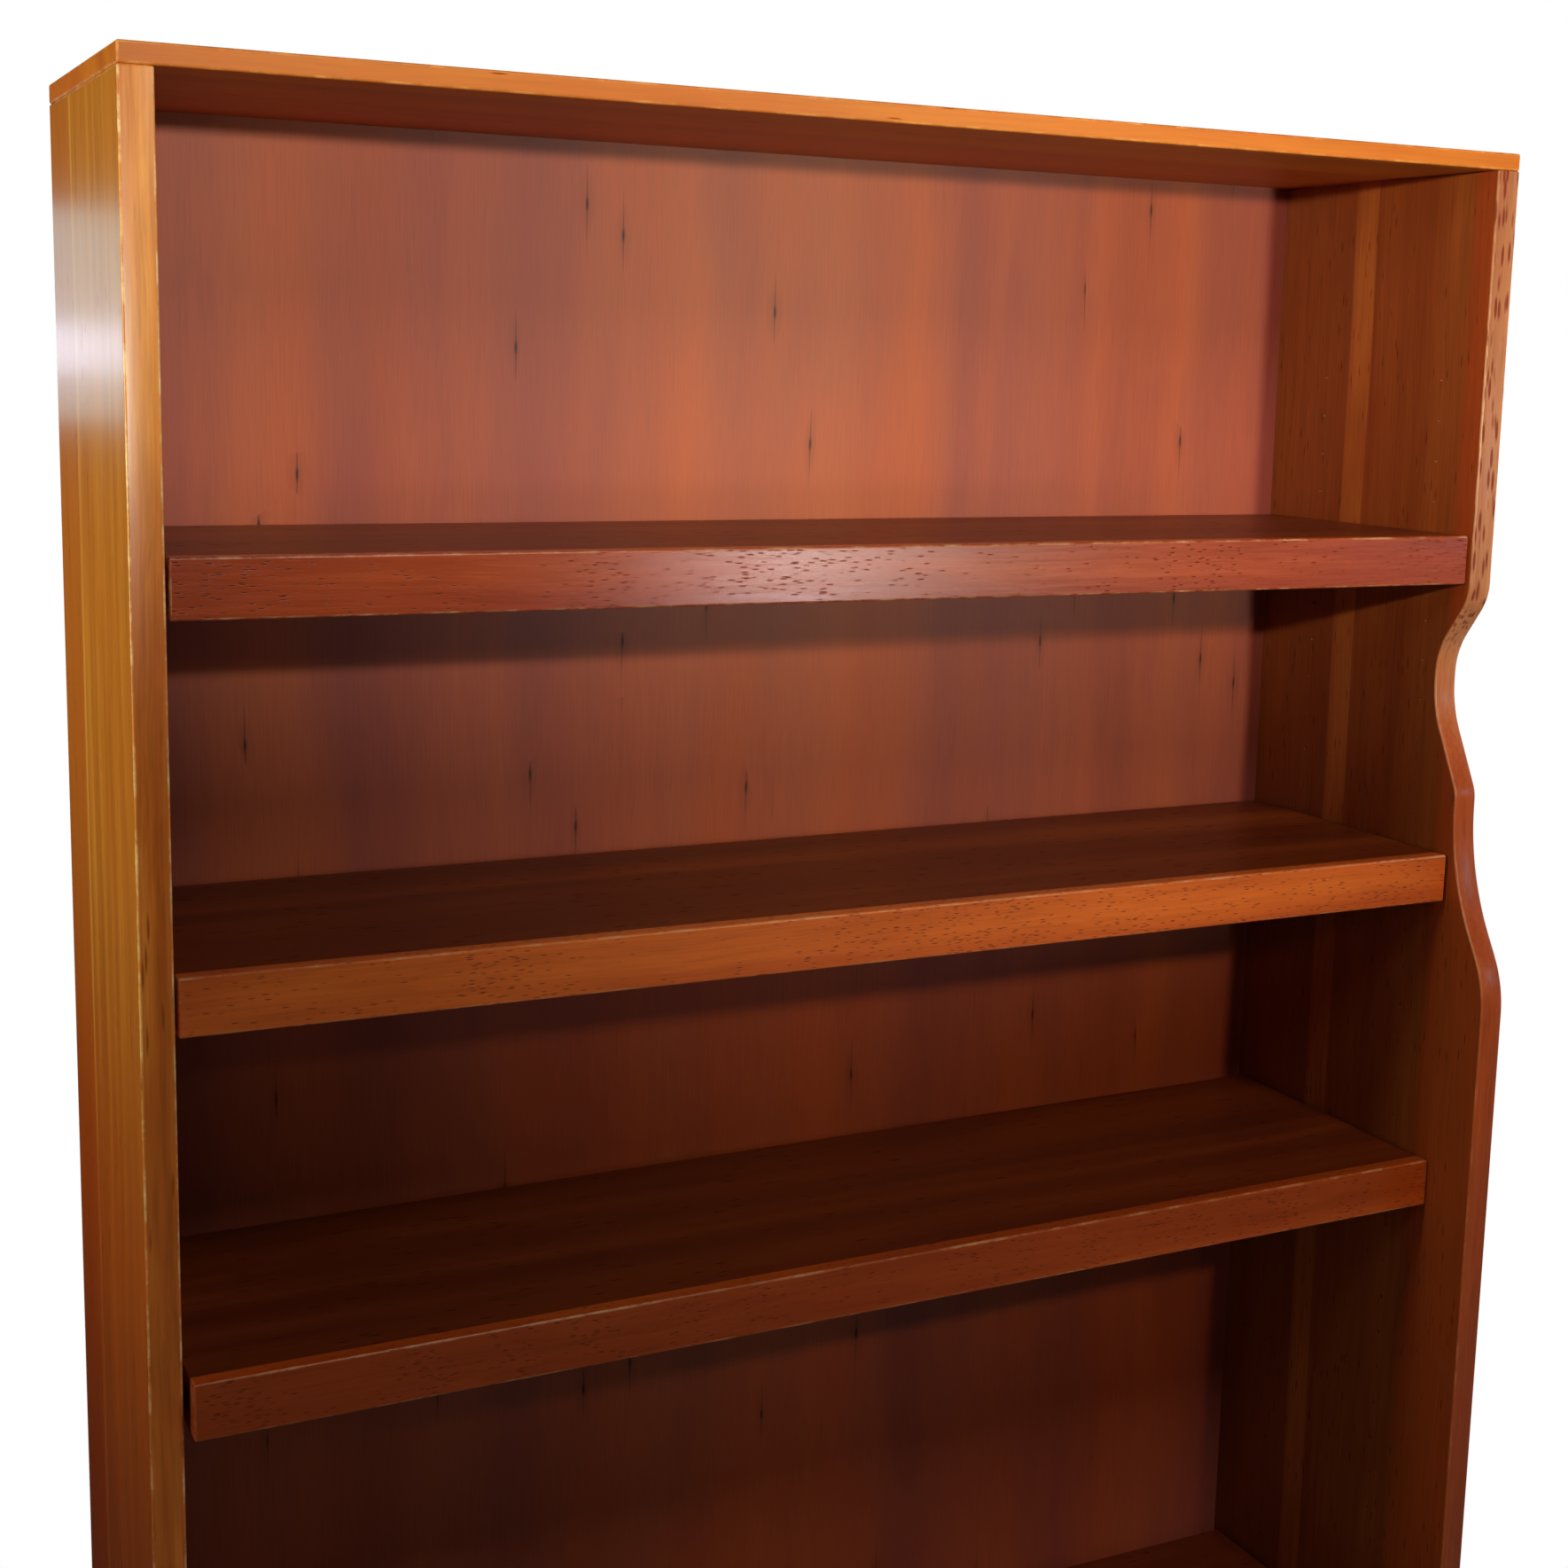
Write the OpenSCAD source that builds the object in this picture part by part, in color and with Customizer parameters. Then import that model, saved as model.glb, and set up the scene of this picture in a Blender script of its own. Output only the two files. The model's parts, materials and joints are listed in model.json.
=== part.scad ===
// Bookcase with adjustable shelves.
// Millimetres, +Z up, front towards -Y, left side panel at -X.
// The origin is on the floor, under the centre of the bookcase's outer box.
// The left side is a plain board. The right side has a shaped front edge: a waist
// cut back above a small shoulder, and below it a swell out to a deeper lower part.

/* [Case] */
// Overall width, over both side panels
case_w = 1045; // [900:1:1220]
// Overall height, floor to upper face of the top
case_h = 1829; // [1760:1:2100]
// Depth of the top and of the left side, front edge to back edge
case_d = 262; // [250:1:330]
// Thickness of each side panel
side_t = 21; // [20:1:30]
// Thickness of the top
top_t = 13; // [13:1:25]
// Height of the recess under the bottom shelf
kick_h = 89; // [80:1:110]

/* [Back panel] */
// Thickness of the back panel
back_t = 6; // [4:1:9]
// Width of the rabbet in each side panel and height of the one in the top
rabbet_w = 9; // [8:1:11]
// Clearance between the back panel's edge and the shoulder of its rabbet
rabbet_gap = 0.5; // [0.3:0.1:1]
// Height of the back panel's lower edge over the floor
back_lift = 12; // [0:1:40]

/* [Shaped front edge of the right side] */
// How far the lower part stands forward of the upper part
step_d = 46; // [40:1:60]
// How far the waist is cut back behind the upper part
waist_d = 32; // [20:1:38]
// Drop from the upper face of the top to the start of the waist
waist_drop = 330; // [315:1:345]
// Length of the straight stretch at the bottom of the waist
waist_flat = 6; // [1:1:12]
// Length of the straight shoulder between the waist and the swell
shoulder_l = 5; // [3:1:30]

/* [Adjustable shelves] */
// Thickness of a shelf
shelf_t = 38; // [30:1:45]
// Thickness of the solid edging on a shelf's front
edging_t = 12; // [6:1:20]
// Gap between a shelf's end and the side panel
shelf_end_gap = 2.5; // [2:0.5:6]
// Distance from the case's front edge back to a shelf's front edge
shelf_setback = 3; // [0:1:8]
// Gap between a shelf's back edge and the back panel
shelf_back_gap = 8; // [7:1:14]
// Hole row that carries the highest shelf, counted down from row 0
first_shelf_row = 5; // [4:1:6]
// Number of hole rows from one of the three upper shelves down to the next
shelf_row_step = 8; // [7:1:9]
// Number of hole rows from the third shelf down to the fourth, over tall things
tall_row_step = 14; // [12:1:16]
// How far the third shelf is drawn forward of its own place
third_shelf_pull = 8; // [5:1:20]
// Angle at which the third shelf lies skew on its pins
third_shelf_skew = 0.8; // [0:0.1:1]

/* [Shelf pins and their holes] */
// Diameter of a shelf pin
pin_d = 3.2; // [3:0.1:6]
// Radial clearance of a pin in its hole
pin_gap = 0.05; // [0.02:0.01:0.1]
// Depth of a pin hole
hole_depth = 10; // [8:0.5:13]
// Length of a pin that stands out of the side panel
pin_out = 6; // [4.5:0.5:10]
// Clearance between a pin's inner end and the bottom of its hole
pin_end_gap = 0.5; // [0.3:0.1:1]
// Clearance between a shelf's underside and its pins
seat_gap = 0.3; // [0.2:0.1:0.5]
// Drop from the upper face of the top to row 0
first_row_drop = 173; // [160:1:190]
// Distance from one row to the next
row_pitch = 32; // [30:1:33]
// Least distance from the lowest row to the bottom shelf
row_margin = 110; // [60:1:160]
// Distance from the front edge back to the front column
front_column = 48; // [37:1:70]
// Distance from the front edge back to the rear column
rear_column = 189; // [160:1:200]

/* [Base] */
// Thickness of the toe kick and of the rear base rail
kick_t = 18; // [16:1:25]
// Distance from the front edge back to the toe kick
kick_recess = 60; // [40:1:80]
// Side of the square section of a glue block
block_s = 22; // [15:1:30]
// Length of a glue block
block_l = 60; // [40:1:90]
// Number of glue blocks behind the toe kick
block_count = 4; // [2:1:6]

/* [Dowels] */
// Diameter of a dowel
dowel_d = 8; // [6:1:10]
// Radial clearance of a dowel in its hole
dowel_gap = 0.05; // [0.02:0.01:0.1]
// Clearance at each end of a dowel
dowel_end_gap = 0.5; // [0.3:0.1:1]
// Depth of a dowel hole into the inner face of a side panel
dowel_in_side = 12; // [10:1:15]
// Depth of a dowel hole into the end of a board
dowel_in_end = 24; // [18:1:30]
// Depth of a dowel hole up into the top
dowel_in_top = 9; // [7:1:10]
// Distance from a board's edge to its first dowel
dowel_edge = 40; // [30:1:50]
// Distance from an edge of the toe kick or the rail to its dowel
rail_dowel_edge = 22; // [16:1:30]

/* [Back screws] */
// Diameter of a screw's shank
screw_d = 3; // [3:0.5:4]
// Length of a screw
screw_l = 16; // [14:1:20]
// Diameter of a screw's countersunk head
screw_head_d = 6.6; // [6:0.2:7]
// Height of the countersunk head
screw_head_h = 1.8; // [1.5:0.1:2.5]
// Clearance round a screw and ahead of its tip
screw_gap = 0.05; // [0.02:0.01:0.1]
// Number of screws up each side
side_screws = 8; // [4:1:12]
// Number of screws along the top and along the bottom shelf
cross_screws = 5; // [3:1:8]
// Distance from the top and from the bottom shelf to the first screw of each row
screw_edge = 60; // [50:1:90]

/* [Hidden] */
$fn = 32;

// Past this far a cut runs out of the solid that it opens.
over = 1;
// Planes of the case.
front = -(case_d - step_d) / 2;
back = front + case_d;
inner_x = case_w / 2 - side_t;
panel_front = back - back_t;
side_h = case_h - top_t;
base_h = kick_h + shelf_t;
rabbet_x = inner_x + rabbet_w;
// Rows of pin holes, numbered down from row 0.
last_row = floor((case_h - first_row_drop - base_h - row_margin) / row_pitch);
columns = [front + front_column, front + rear_column];
// One adjustable shelf.
shelf_l = 2 * (inner_x - shelf_end_gap);
shelf_d = case_d - back_t - shelf_setback - shelf_back_gap;
// Dowels across the depth of the case, and up the toe kick and the rail.
dowel_ys = [front + dowel_edge, front + case_d / 2, panel_front - dowel_edge];
rail_dowel_zs = [rail_dowel_edge, kick_h - rail_dowel_edge];
kick_y = front + kick_recess + kick_t / 2;
rail_y = panel_front - kick_t / 2;
// Screws that hold the back panel.
back_low = back_lift;
back_high = side_h + rabbet_w - rabbet_gap;
screw_side_x = inner_x + rabbet_w / 2;
screw_top_z = side_h + rabbet_w / 2;
screw_base_z = base_h - shelf_t / 2;
screw_side_zs = spread(base_h + screw_edge, back_high - screw_edge, side_screws);
screw_xs = spread(-inner_x + screw_edge, inner_x - screw_edge, cross_screws);
// Radii and steepest slopes of the three curves of the shaped edge.
waist_top_curve = [40, 56, 35];
waist_low_curve = [88, 30, 26];
swell_curve = [205, 95, 29];
arc_steps = 8;
// Colours of the finishes.
mahogany = [0.46, 0.20, 0.12];
amber = [0.66, 0.36, 0.17];
panel_red = [0.50, 0.25, 0.17];
pale_wood = [0.80, 0.66, 0.46];
steel = [0.75, 0.75, 0.73];

function row_z(row) = case_h - first_row_drop - row * row_pitch;
function shelf_row(i) =
    i < 4 ? first_shelf_row + (i - 1) * shelf_row_step : shelf_row(3) + tall_row_step;
function shelf_z(i) = row_z(shelf_row(i)) + pin_d / 2 + seat_gap;
function spread(low, high, count) = [for (i = [0 : count - 1]) low + (high - low) * i / (count - 1)];

// Length of a curve that moves an edge across by `across` and runs straight again at both ends.
function curve_l(across, c) =
    (c[0] + c[1]) * sin(c[2]) + (across - (c[0] + c[1]) * (1 - cos(c[2]))) / tan(c[2]);
// Points [depth, drop] of such a curve, downwards from drop `from`: an arc of radius c[0],
// a straight of slope c[2], and an arc of radius c[1].
function curve(y0, y1, from, c) =
    let (dir = y1 > y0 ? 1 : -1, to = from + curve_l(abs(y1 - y0), c))
    concat(
        [for (i = [0 : arc_steps]) let (a = c[2] * i / arc_steps)
            [y0 + dir * c[0] * (1 - cos(a)), from + c[0] * sin(a)]],
        [for (i = [arc_steps : -1 : 0]) let (a = c[2] * i / arc_steps)
            [y1 - dir * c[1] * (1 - cos(a)), to - c[1] * sin(a)]]);

waist_bottom = waist_drop + curve_l(waist_d, waist_top_curve) + waist_flat;
shoulder_drop = waist_bottom + curve_l(waist_d, waist_low_curve);
shaped_edge = concat(
    curve(front, front + waist_d, waist_drop, waist_top_curve),
    curve(front + waist_d, front, waist_bottom, waist_low_curve),
    curve(front, front - step_d, shoulder_drop + shoulder_l, swell_curve));

// A board that lies flat between two corners.
module board(low, high) {
    translate(low) cube(high - low);
}

// A cylinder along X that starts at x and runs by `length`, to the left if it is negative.
module rod_x(x, y, z, r, length) {
    translate([min(x, x + length), y, z]) rotate([0, 90, 0]) cylinder(r = r, h = abs(length));
}

// A side outline of [y, z] points, given its thickness from x upwards.
module upright(x, points) {
    translate([x, 0, 0]) rotate([90, 0, 90]) linear_extrude(side_t) polygon(points);
}

// Every pin hole of one side, mouth on the inner face. dir is -1 on the left and 1 on the right.
module pin_holes(dir) {
    for (row = [0 : last_row], y = columns)
        rod_x(dir * (inner_x - over), y, row_z(row), pin_d / 2 + pin_gap, dir * (hole_depth + over));
}

// Dowel holes of one side: up into the top, and across into the base.
module side_dowel_holes(dir) {
    r = dowel_d / 2 + dowel_gap;
    for (y = dowel_ys) {
        translate([dir * (case_w - side_t) / 2, y, side_h - dowel_in_end])
            cylinder(r = r, h = dowel_in_end + over);
        rod_x(dir * (inner_x - over), y, screw_base_z, r, dir * (dowel_in_side + over));
    }
    for (y = [kick_y, rail_y], z = rail_dowel_zs)
        rod_x(dir * (inner_x - over), y, z, r, dir * (dowel_in_side + over));
}

// The rabbet at the inner back corner of one side, and its screw holes.
module side_rabbet(dir) {
    x = dir > 0 ? inner_x - over : -rabbet_x;
    translate([x, panel_front, -over]) cube([rabbet_w + over, back_t + over, case_h]);
    for (z = screw_side_zs) screw_hole(dir * screw_side_x, z);
}

// The clearance of one back screw, from behind the panel to ahead of its tip.
module screw_hole(x, z) {
    translate([x, back + over, z]) rotate([90, 0, 0])
        cylinder(r = screw_d / 2 + screw_gap, h = screw_l + over + screw_gap);
}

module left_side_panel() {
    points = [[front, 0], [back, 0], [back, side_h], [front, side_h]];
    color(amber) difference() {
        upright(-case_w / 2, points);
        pin_holes(-1);
        side_dowel_holes(-1);
        side_rabbet(-1);
    }
}

module right_side_panel() {
    edge = [for (p = shaped_edge) [p[0], case_h - p[1]]];
    points = concat([[front - step_d, 0], [back, 0], [back, side_h], [front, side_h]], edge);
    color(mahogany) difference() {
        upright(inner_x, points);
        pin_holes(1);
        side_dowel_holes(1);
        side_rabbet(1);
    }
}

module top_panel() {
    r = dowel_d / 2 + dowel_gap;
    color(mahogany) difference() {
        board([-case_w / 2, front, side_h], [case_w / 2, back, case_h]);
        board([-rabbet_x, panel_front, side_h - over], [rabbet_x, back + over, side_h + rabbet_w]);
        for (dir = [-1, 1], y = dowel_ys)
            translate([dir * (case_w - side_t) / 2, y, side_h - over])
                cylinder(r = r, h = dowel_in_top + over);
        for (x = screw_xs) screw_hole(x, screw_top_z);
    }
}

// Centres [x, z] of every back screw.
screw_places = concat(
    [for (dir = [-1, 1], z = screw_side_zs) [dir * screw_side_x, z]],
    [for (x = screw_xs, z = [screw_top_z, screw_base_z]) [x, z]]);

module back_panel() {
    half_w = rabbet_x - rabbet_gap;
    color(panel_red) difference() {
        board([-half_w, panel_front, back_low], [half_w, back, back_high]);
        for (p = screw_places) {
            screw_hole(p[0], p[1]);
            translate([p[0], back + over, p[1]]) rotate([90, 0, 0])
                cylinder(r = screw_head_d / 2 + screw_gap, h = over);
            translate([p[0], back, p[1]]) rotate([90, 0, 0])
                cylinder(r1 = screw_head_d / 2 + screw_gap, r2 = screw_d / 2 + screw_gap, h = screw_head_h);
        }
    }
}

module back_screws() {
    color(steel) for (p = screw_places) translate([p[0], back, p[1]]) rotate([90, 0, 0]) union() {
        cylinder(r1 = screw_head_d / 2, r2 = screw_d / 2, h = screw_head_h);
        cylinder(r = screw_d / 2, h = screw_l - screw_d);
        translate([0, 0, screw_l - screw_d]) cylinder(r1 = screw_d / 2, r2 = screw_d / 8, h = screw_d);
    }
}

module bottom_shelf() {
    r = dowel_d / 2 + dowel_gap;
    color(mahogany) difference() {
        board([-inner_x, front + edging_t, kick_h], [inner_x, panel_front, base_h]);
        for (dir = [-1, 1], y = dowel_ys)
            rod_x(dir * (inner_x + over), y, screw_base_z, r, -dir * (dowel_in_end + over));
        for (x = screw_xs) screw_hole(x, screw_base_z);
    }
}

module bottom_shelf_edging() {
    color(mahogany) board([-inner_x, front, kick_h], [inner_x, front + edging_t, base_h]);
}

// A rail on edge across the base, with a dowel hole at each end and height.
module base_board(y) {
    r = dowel_d / 2 + dowel_gap;
    difference() {
        board([-inner_x, y - kick_t / 2, 0], [inner_x, y + kick_t / 2, kick_h]);
        for (dir = [-1, 1], z = rail_dowel_zs)
            rod_x(dir * (inner_x + over), y, z, r, -dir * (dowel_in_end + over));
    }
}

module toe_kick() {
    color(mahogany) base_board(kick_y);
}

module rear_base_rail() {
    color(pale_wood) base_board(rail_y);
}

module glue_blocks() {
    first = inner_x - block_l;
    y = kick_y + kick_t / 2;
    color(pale_wood) for (x = spread(-first, first, block_count))
        board([x - block_l / 2, y, kick_h - block_s], [x + block_l / 2, y + block_s, kick_h]);
}

// Puts what it is given, centred across and in depth, where shelf i lies.
module at_shelf(i) {
    pull = i == 3 ? third_shelf_pull : 0;
    skew = i == 3 ? third_shelf_skew : 0;
    translate([0, front + shelf_setback + shelf_d / 2 - pull, shelf_z(i)])
        rotate([0, 0, skew]) children();
}

module shelf_board(i) {
    color(mahogany) at_shelf(i)
        board([-shelf_l / 2, edging_t - shelf_d / 2, 0], [shelf_l / 2, shelf_d / 2, shelf_t]);
}

module shelf_edging(i) {
    color(mahogany) at_shelf(i)
        board([-shelf_l / 2, -shelf_d / 2, 0], [shelf_l / 2, edging_t - shelf_d / 2, shelf_t]);
}

// The two pins that carry one end of shelf i.
module shelf_pins(i, dir) {
    inside = hole_depth - pin_end_gap;
    color(steel) for (y = columns)
        rod_x(dir * (inner_x + inside), y, row_z(shelf_row(i)), pin_d / 2, -dir * (inside + pin_out));
}

module top_dowels() {
    z = side_h - dowel_in_end + dowel_end_gap;
    length = dowel_in_end + dowel_in_top - 2 * dowel_end_gap;
    color(pale_wood) for (dir = [-1, 1], y = dowel_ys)
        translate([dir * (case_w - side_t) / 2, y, z]) cylinder(r = dowel_d / 2, h = length);
}

// One dowel at each end of a board that runs across the case.
module cross_dowels(y, z) {
    inside = dowel_in_side - dowel_end_gap;
    length = inside + dowel_in_end - dowel_end_gap;
    for (dir = [-1, 1])
        rod_x(dir * (inner_x + inside), y, z, dowel_d / 2, -dir * length);
}

module bottom_shelf_dowels() {
    color(pale_wood) for (y = dowel_ys) cross_dowels(y, screw_base_z);
}

module toe_kick_dowels() {
    color(pale_wood) for (z = rail_dowel_zs) cross_dowels(kick_y, z);
}

module base_rail_dowels() {
    color(pale_wood) for (z = rail_dowel_zs) cross_dowels(rail_y, z);
}

left_side_panel();
right_side_panel();
top_panel();
back_panel();
bottom_shelf();
bottom_shelf_edging();
toe_kick();
rear_base_rail();
glue_blocks();
shelf_board(1);  // shelf_1_board
shelf_board(2);  // shelf_2_board
shelf_board(3);  // shelf_3_board
shelf_board(4);  // shelf_4_board
shelf_edging(1);  // shelf_1_edging
shelf_edging(2);  // shelf_2_edging
shelf_edging(3);  // shelf_3_edging
shelf_edging(4);  // shelf_4_edging
shelf_pins(1, -1);  // shelf_1_left_pins
shelf_pins(2, -1);  // shelf_2_left_pins
shelf_pins(3, -1);  // shelf_3_left_pins
shelf_pins(4, -1);  // shelf_4_left_pins
shelf_pins(1, 1);  // shelf_1_right_pins
shelf_pins(2, 1);  // shelf_2_right_pins
shelf_pins(3, 1);  // shelf_3_right_pins
shelf_pins(4, 1);  // shelf_4_right_pins
top_dowels();
bottom_shelf_dowels();
toe_kick_dowels();
base_rail_dowels();
back_screws();
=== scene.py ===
# %% [markdown]
# # A tall bookcase with adjustable shelves
#
# The solids come from the construction model and fix every place and size. This
# lesson dresses them: boards get softened arrises, the holes and small fittings are
# made by rule, and each wood gets a grain of its own.

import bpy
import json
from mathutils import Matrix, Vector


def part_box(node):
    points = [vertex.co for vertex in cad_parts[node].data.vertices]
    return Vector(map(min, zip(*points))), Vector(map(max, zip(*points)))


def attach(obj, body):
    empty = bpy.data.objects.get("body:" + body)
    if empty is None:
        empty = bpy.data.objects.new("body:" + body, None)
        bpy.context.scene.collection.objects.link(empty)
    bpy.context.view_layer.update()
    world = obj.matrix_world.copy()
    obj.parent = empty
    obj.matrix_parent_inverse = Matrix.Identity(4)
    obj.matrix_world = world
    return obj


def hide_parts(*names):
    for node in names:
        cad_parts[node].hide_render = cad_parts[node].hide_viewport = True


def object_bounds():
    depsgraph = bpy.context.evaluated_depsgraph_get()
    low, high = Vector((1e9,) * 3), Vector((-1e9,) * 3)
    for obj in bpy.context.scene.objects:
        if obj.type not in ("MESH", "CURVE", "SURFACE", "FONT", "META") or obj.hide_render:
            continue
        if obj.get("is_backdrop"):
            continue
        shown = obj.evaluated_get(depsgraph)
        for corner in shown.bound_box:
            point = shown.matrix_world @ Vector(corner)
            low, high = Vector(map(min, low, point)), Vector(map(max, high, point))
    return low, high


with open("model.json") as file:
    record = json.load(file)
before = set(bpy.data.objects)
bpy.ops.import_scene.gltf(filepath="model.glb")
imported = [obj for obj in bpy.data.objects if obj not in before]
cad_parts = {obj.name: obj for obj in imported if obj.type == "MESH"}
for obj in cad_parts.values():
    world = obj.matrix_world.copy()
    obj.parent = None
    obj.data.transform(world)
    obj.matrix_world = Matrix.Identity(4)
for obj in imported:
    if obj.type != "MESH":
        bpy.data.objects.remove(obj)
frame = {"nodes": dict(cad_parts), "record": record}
cad_box = [[float(v) for v in corner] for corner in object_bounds()]

import json
import math

import bmesh
import bpy
from mathutils import Vector

case_low, case_high = (Vector(corner) for corner in cad_box)
case_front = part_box("top_panel")[0][1]
case_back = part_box("top_panel")[1][1]
MM = 0.001
print("Case from", cad_box[0], "to", cad_box[1])

# %% [markdown]
# ## Small helpers for nodes
#
# A wood needs dozens of nodes. A short function that makes one node, fills its inputs
# and links what is a socket keeps each finish readable. Colours are written as they
# look on a screen, from 0 to 255, and turned into linear values.

# %% Nodes and colours
def linear(red, green, blue):
    """A screen colour as the linear colour of a socket."""
    parts = [v / 255 for v in (red, green, blue)]
    return [v / 12.92 if v <= 0.04045 else ((v + 0.055) / 1.055) ** 2.4 for v in parts] + [1.0]


def feed(tree, node, inputs):
    """Fills inputs. A socket is linked, anything else is set."""
    for key, value in inputs.items():
        if isinstance(value, bpy.types.NodeSocket):
            tree.links.new(value, node.inputs[key])
        else:
            node.inputs[key].default_value = value


def put(tree, kind, inputs=None, **settings):
    """Adds a node with its settings and its inputs."""
    node = tree.nodes.new(kind)
    for key, value in settings.items():
        setattr(node, key, value)
    feed(tree, node, inputs or {})
    return node


WHITE = (1.0, 1.0, 1.0, 1.0)
print("Middle grey as a linear colour:", linear(128, 128, 128))

# %% [markdown]
# Most of a wood's look comes from numbers, such as a noise or a height. These helpers
# do sums, turn a number into a share or a colour, and lay one colour over another. The
# last two start a material and feed its shader.

# %% Sums, ramps and mixes
def sum_of(tree, first, second, kind="ADD"):
    """A sum, or what another operation makes of two numbers."""
    return put(tree, "ShaderNodeMath", {0: first, 1: second}, operation=kind).outputs[0]


def product(tree, first, second):
    """The product of two numbers."""
    return sum_of(tree, first, second, "MULTIPLY")


def part_of(tree, place, axis):
    """One coordinate of a place."""
    return put(tree, "ShaderNodeSeparateXYZ", {0: place}).outputs[axis]


def ramp(tree, value, start, end, low=0.0, high=1.0, form="LINEAR"):
    """Goes from low to high while the value goes from start to end."""
    return put(tree, "ShaderNodeMapRange", {"Value": value, "From Min": start, "From Max": end,
               "To Min": low, "To Max": high}, interpolation_type=form).outputs[0]


def steps(tree, factor, *stops):
    """A colour ramp over (position, colour) stops. A plain number is a grey."""
    node = put(tree, "ShaderNodeValToRGB", {"Fac": factor})
    band = node.color_ramp
    while len(band.elements) < len(stops):
        band.elements.new(0.5)
    for element, (place, colour) in zip(band.elements, stops):
        element.position = place
        element.color = [colour] * 3 + [1.0] if isinstance(colour, (int, float)) else colour
    return node.outputs["Color"]


def blended(tree, factor, first, second, kind="MIX"):
    """Mixes two colours; each may be a socket or a colour."""
    factor_in, first_in, second_in, colour_out = 0, 6, 7, 2
    return put(tree, "ShaderNodeMix", {factor_in: factor, first_in: first, second_in: second},
               data_type="RGBA", blend_type=kind).outputs[colour_out]


# %% Material and surface
def finish_named(name):
    """An empty material with its shader and output, as (material, tree, shader)."""
    material = bpy.data.materials.new(name)
    material.use_nodes = True
    tree = material.node_tree
    tree.nodes.clear()
    shader = put(tree, "ShaderNodeBsdfPrincipled")
    put(tree, "ShaderNodeOutputMaterial", {"Surface": shader.outputs[0]})
    return material, tree, shader


def surface(tree, shader, colour, roughness, relief, strength, depth, more=None):
    """Feeds a shader its colour, its roughness, a fine relief and maybe more."""
    dent = put(tree, "ShaderNodeBump", {"Height": relief, "Strength": strength,
               "Distance": depth})
    feed(tree, shader, {"Base Color": colour, "Roughness": roughness,
                        "Normal": dent.outputs[0], **(more or {})})


# %% [markdown]
# ## Space that follows the grain
#
# Wood is a bundle of long cells, so every pattern in it is stretched along the board.
# A Mapping node squeezes the object's own coordinates along the grain, and a slow
# noise bends them a little, because no fibre runs dead straight. Object coordinates
# carry on from one board to the next, so an edging shows no seam on its shelf.

# %% Grain space
SQUEEZE = {"x": (0.03, 1.0, 1.0), "z": (1.0, 1.0, 0.03)}


def grain_space(tree, along, squeeze=1.0, sway=0.010):
    """Coordinates squeezed along x or z, with a gentle sway across the grain."""
    place = put(tree, "ShaderNodeTexCoord").outputs["Object"]
    slow = put(tree, "ShaderNodeTexNoise", {"Vector": place, "Scale": 3.0, "Detail": 2.0})
    either_way = put(tree, "ShaderNodeVectorMath", {0: slow.outputs["Color"],
                     1: (0.5, 0.5, 0.5)}, operation="SUBTRACT")
    shift = put(tree, "ShaderNodeVectorMath", {0: either_way.outputs[0], "Scale": sway * 2},
                operation="SCALE")
    swayed = put(tree, "ShaderNodeVectorMath", {0: place, 1: shift.outputs[0]},
                 operation="ADD")
    scale = [1 - (1 - v) * squeeze if v < 1 else v for v in SQUEEZE[along]]
    return put(tree, "ShaderNodeMapping", {"Vector": swayed.outputs[0],
               "Scale": scale}).outputs[0]


def noise(tree, space, scale, detail=3.0, rough=0.55, warp=0.0):
    """Noise of that many features to the metre, as a number."""
    return put(tree, "ShaderNodeTexNoise", {"Vector": space, "Scale": scale, "Detail": detail,
               "Roughness": rough, "Distortion": warp}).outputs["Fac"]


def few(tree, cells, share):
    """1 in that share of the cells of a Voronoi texture, and 0 in the others."""
    return steps(tree, cells.outputs["Color"], (1 - share, 0.0), (1.001 - share, 1.0))


print("Grain can run along", " or ".join(SQUEEZE))

# %% [markdown]
# ## Bands and flecks
#
# Where a board's tone steps across its width, as at a seam or a strip of sapwood, a band
# between two depths is laid over it. Its edges wander a little, as a board's own do. A
# strip of sapwood may also hold short dark flecks. They sit in a few cells of a stretched
# Voronoi texture, which keeps them apart without placing any by hand.

# %% Bands across a board
WANDER = 6 * MM


def strip(tree, place, start, end, soft):
    """1 between two depths, and fading to 0 within `soft` outside them."""
    wander = product(tree, sum_of(tree, noise(tree, place, 4.0, 2.0), 0.5, "SUBTRACT"), WANDER)
    depth = sum_of(tree, part_of(tree, place, "Y"), wander)
    return product(tree, ramp(tree, depth, start - soft, start),
                   ramp(tree, depth, end, end + soft, 1.0, 0.0))


def flecks(tree, place, start, end):
    """Short dark flecks along z between two depths, as a mask."""
    stretched = put(tree, "ShaderNodeMapping", {"Vector": place, "Scale": (1.0, 1.0, 0.16)})
    cells = put(tree, "ShaderNodeTexVoronoi", {"Vector": stretched.outputs[0], "Scale": 260.0})
    near = steps(tree, cells.outputs["Distance"], (0.18, 1.0), (0.3, 0.0))
    spots = product(tree, near, few(tree, cells, 0.2))
    return product(tree, spots, strip(tree, place, start, end, 2 * MM))


print("A band's edge wanders by up to", round(WANDER / MM / 2, 1), "mm either way")
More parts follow.
